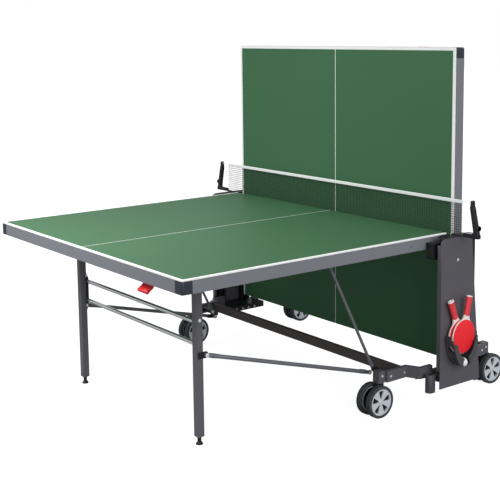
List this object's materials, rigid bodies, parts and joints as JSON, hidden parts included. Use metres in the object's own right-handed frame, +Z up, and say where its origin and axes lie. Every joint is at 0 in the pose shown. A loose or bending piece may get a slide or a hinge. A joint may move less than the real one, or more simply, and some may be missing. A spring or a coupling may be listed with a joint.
{
  "type": "folding table tennis table",
  "caption": "Full-size folding table tennis table with one half flat and one half upright on a wheeled undercarriage, with net, bats and ball holder.",
  "frame": {"origin": "centre of the bounding box on the floor", "axes": "+X along the net, from the far side of the table to the side that carries the bats; +Y along the table from the end of the half that lies flat towards the upright half; +Z up"},
  "size_m": [1.88, 1.795, 1.552],
  "materials": {
    "board_green": "satin",
    "frame_grey": "satin",
    "corner_cap": "matte",
    "frame_dark": "satin",
    "bracket_black": "satin",
    "bolt_steel": "brushed",
    "carriage_black": "matte",
    "leg_grey": "satin",
    "crossbar_chrome": "polished",
    "foot_black": "matte",
    "strut_grey": "satin",
    "handle_red": "gloss",
    "castor_black": "matte",
    "castor_silver": "satin",
    "castor_tyre": "matte",
    "chassis_dark": "satin",
    "chassis_grey": "satin",
    "sleeve_grey": "matte",
    "guide_black": "satin",
    "panel_grey": "satin",
    "net_post_black": "matte",
    "net_cloth": "woven",
    "net_tape": "woven",
    "holder_grey": "matte",
    "bat_wood": "satin",
    "bat_rubber": "satin",
    "ball_white": "gloss"
  },
  "bodies": {
    "base": {"cross_tubes": "chassis_dark", "side_arms": "chassis_grey", "castor_housings": "chassis_grey", "upright_plates": "bracket_black", "foot_sleeves": "sleeve_grey", "guide_rails": "guide_black", "side_panels": "panel_grey", "strut_stubs": "bracket_black", "net_posts": "net_post_black", "net_mesh": "net_cloth", "net_tape": "net_tape", "bat_holder": "holder_grey", "panel_screws": "bolt_steel"},
    "carriage_a": {"carriages_a": "carriage_black"},
    "board_a": {"deck_a": "board_green", "apron_a": "frame_grey", "corner_caps_a": "corner_cap", "cross_members_a": "frame_dark", "brackets_a": "bracket_black", "pivot_bolts_a": "bolt_steel"},
    "leg_a": {"legs_a": "leg_grey", "crossbars_a": "crossbar_chrome", "leg_hardware_a": "bracket_black", "feet_a": "foot_black"},
    "leg_strut_a": {"leg_struts_a": "strut_grey"},
    "strut_a": {"struts_a": "strut_grey"},
    "handle_a": {"release_handle_a": "handle_red"},
    "carriage_b": {"carriages_b": "carriage_black"},
    "board_b": {"deck_b": "board_green", "apron_b": "frame_grey", "corner_caps_b": "corner_cap", "cross_members_b": "frame_dark", "brackets_b": "bracket_black", "pivot_bolts_b": "bolt_steel"},
    "leg_b": {"legs_b": "leg_grey", "crossbars_b": "crossbar_chrome", "leg_hardware_b": "bracket_black", "feet_b": "foot_black"},
    "leg_strut_b": {"leg_struts_b": "strut_grey"},
    "strut_b": {"struts_b": "strut_grey"},
    "handle_b": {"release_handle_b": "handle_red"},
    "castor_1": {"castor_fork_1": "castor_black"},
    "wheels_1": {"castor_rims_1": "castor_silver", "castor_tyres_1": "castor_tyre"},
    "castor_2": {"castor_fork_2": "castor_black"},
    "wheels_2": {"castor_rims_2": "castor_silver", "castor_tyres_2": "castor_tyre"},
    "castor_3": {"castor_fork_3": "castor_black"},
    "wheels_3": {"castor_rims_3": "castor_silver", "castor_tyres_3": "castor_tyre"},
    "castor_4": {"castor_fork_4": "castor_black"},
    "wheels_4": {"castor_rims_4": "castor_silver", "castor_tyres_4": "castor_tyre"},
    "net_knob_near": {"net_knob_near": "net_post_black"},
    "net_knob_far": {"net_knob_far": "net_post_black"},
    "bat_front": {"bat_front": "bat_wood", "bat_front_rubbers": "bat_rubber"},
    "bat_back": {"bat_back": "bat_wood", "bat_back_rubbers": "bat_rubber"},
    "ball": {"ball": "ball_white"}
  },
  "joints": [
    {"name": "lift_a", "type": "slide", "parent": "base", "child": "carriage_a", "axis": [0, 0, -1], "range_m": [0, 0.464]},
    {"name": "fold_a", "type": "hinge", "parent": "carriage_a", "child": "board_a", "pos_m": [0, 0.3985, 0.72], "axis": [-1, 0, 0], "range_deg": [-0.1, 90.1]},
    {"name": "leg_a", "type": "hinge", "parent": "board_a", "child": "leg_a", "pos_m": [0, -0.6325, 0.698], "axis": [-1, 0, 0], "range_deg": [-90.1, 0.1]},
    {"name": "leg_strut_a", "type": "hinge", "parent": "leg_a", "child": "leg_strut_a", "pos_m": [0, -0.6165, 0.36785], "axis": [-1, 0, 0], "range_deg": [-0.1, 89.33]},
    {"name": "strut_a", "type": "hinge", "parent": "board_a", "child": "strut_a", "pos_m": [0, -0.09362, 0.72], "axis": [-1, 0, 0], "range_deg": [-42.74, 0.1]},
    {"name": "release_a", "type": "hinge", "parent": "board_a", "child": "handle_a", "pos_m": [0.486, -0.8615, 0.71], "axis": [-1, 0, 0], "range_deg": [0, 25], "stiffness_Nm_per_rad": 1.2, "springref_deg": -8},
    {"name": "lift_b", "type": "slide", "parent": "base", "child": "carriage_b", "axis": [0, 0, 1], "range_m": [0, 0.464]},
    {"name": "fold_b", "type": "hinge", "parent": "carriage_b", "child": "board_b", "pos_m": [0, 0.5465, 0.256], "axis": [-1, 0, 0], "range_deg": [-0.1, 90.1]},
    {"name": "leg_b", "type": "hinge", "parent": "board_b", "child": "leg_b", "pos_m": [0, 0.5685, 1.287], "axis": [-1, 0, 0], "range_deg": [-90.1, 0.1]},
    {"name": "leg_strut_b", "type": "hinge", "parent": "leg_b", "child": "leg_strut_b", "pos_m": [0, 0.5525, 0.95685], "axis": [-1, 0, 0], "range_deg": [-0.1, 89.33]},
    {"name": "strut_b", "type": "hinge", "parent": "board_b", "child": "strut_b", "pos_m": [0, 0.5465, 0.74812], "axis": [-1, 0, 0], "range_deg": [-42.74, 0.1]},
    {"name": "release_b", "type": "hinge", "parent": "board_b", "child": "handle_b", "pos_m": [0.486, 0.5565, 1.516], "axis": [1, 0, 0], "range_deg": [0, 25], "stiffness_Nm_per_rad": 1.2, "springref_deg": -8},
    {"name": "swivel_1", "type": "hinge", "parent": "base", "child": "castor_1", "pos_m": [0.687, 0.1425, 0.14], "axis": [0, 0, 1], "continuous": true},
    {"name": "wheel_1", "type": "hinge", "parent": "castor_1", "child": "wheels_1", "pos_m": [0.687, 0.1175, 0.07], "axis": [1, 0, 0], "continuous": true},
    {"name": "swivel_2", "type": "hinge", "parent": "base", "child": "castor_2", "pos_m": [0.687, 0.8025, 0.14], "axis": [0, 0, 1], "continuous": true},
    {"name": "wheel_2", "type": "hinge", "parent": "castor_2", "child": "wheels_2", "pos_m": [0.687, 0.8275, 0.07], "axis": [1, 0, 0], "continuous": true},
    {"name": "swivel_3", "type": "hinge", "parent": "base", "child": "castor_3", "pos_m": [-0.687, 0.1425, 0.14], "axis": [0, 0, 1], "continuous": true},
    {"name": "wheel_3", "type": "hinge", "parent": "castor_3", "child": "wheels_3", "pos_m": [-0.687, 0.1175, 0.07], "axis": [1, 0, 0], "continuous": true},
    {"name": "swivel_4", "type": "hinge", "parent": "base", "child": "castor_4", "pos_m": [-0.687, 0.8025, 0.14], "axis": [0, 0, 1], "continuous": true},
    {"name": "wheel_4", "type": "hinge", "parent": "castor_4", "child": "wheels_4", "pos_m": [-0.687, 0.8275, 0.07], "axis": [1, 0, 0], "continuous": true},
    {"name": "net_knob_turn_near", "type": "hinge", "parent": "base", "child": "net_knob_near", "pos_m": [0.93, 0.4725, 0.802], "axis": [1, 0, 0], "continuous": true},
    {"name": "net_knob_turn_far", "type": "hinge", "parent": "base", "child": "net_knob_far", "pos_m": [-0.93, 0.4725, 0.802], "axis": [1, 0, 0], "continuous": true},
    {"name": "bat_front_lift", "type": "slide", "parent": "base", "child": "bat_front", "axis": [0, 0, 1], "range_m": [0, 0.24]},
    {"name": "bat_back_lift", "type": "slide", "parent": "base", "child": "bat_back", "axis": [0, 0, 1], "range_m": [0, 0.24]},
    {"name": "ball_out", "type": "slide", "parent": "base", "child": "ball", "axis": [1, 0, 0], "range_m": [0, 0.08]}
  ],
  "couplings": [
    {"joint": "fold_a", "follows": "lift_a", "rad_per_m": 3.3853},
    {"joint": "leg_a", "follows": "lift_a", "rad_per_m": -3.3853},
    {"joint": "leg_strut_a", "follows": "lift_a", "rad_per_m": 3.3563},
    {"joint": "strut_a", "follows": "lift_a", "rad_per_m": -1.6039},
    {"joint": "fold_b", "follows": "lift_b", "rad_per_m": 3.3853},
    {"joint": "leg_b", "follows": "lift_b", "rad_per_m": -3.3853},
    {"joint": "leg_strut_b", "follows": "lift_b", "rad_per_m": 3.3563},
    {"joint": "strut_b", "follows": "lift_b", "rad_per_m": -1.6039}
  ]
}
